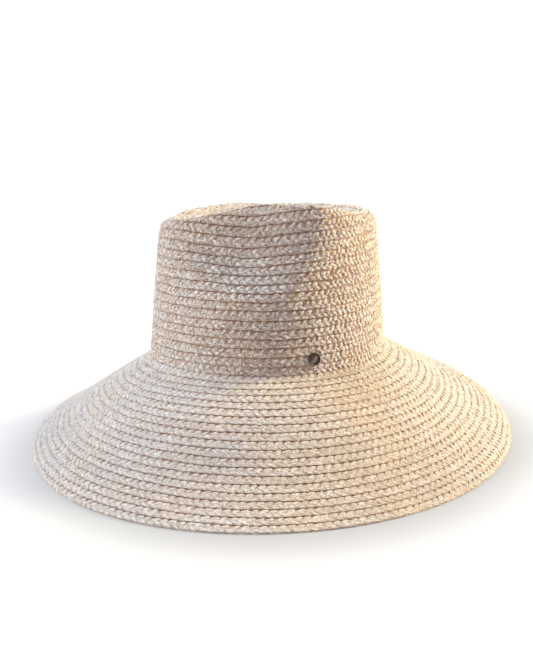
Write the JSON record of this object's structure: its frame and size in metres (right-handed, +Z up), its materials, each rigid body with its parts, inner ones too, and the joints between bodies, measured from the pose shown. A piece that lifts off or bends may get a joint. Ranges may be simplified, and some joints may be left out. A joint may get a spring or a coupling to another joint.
{
  "type": "straw hat",
  "caption": "Wide-brimmed straw sun hat of sewn braid: oval crown with one broad dent pushed into its front, drooping oval brim, small round metal stud above the brim.",
  "frame": {"origin": "centre of the hat's footprint on the surface that its hem rests on", "axes": "+Z up, -Y towards the dented front with the stud, +Y towards the back, +X to the right seen from the front"},
  "size_m": [0.3626, 0.428, 0.1834],
  "materials": {
    "straw": "matt natural raffia braid sewn in overlapping rows",
    "dark_metal": "antiqued dark bronze, worn on the high edges"
  },
  "bodies": {
    "root": {"crown": "straw", "brim": "straw", "stud_cap": "dark_metal", "stud_post": "dark_metal"}
  },
  "joints": []
}
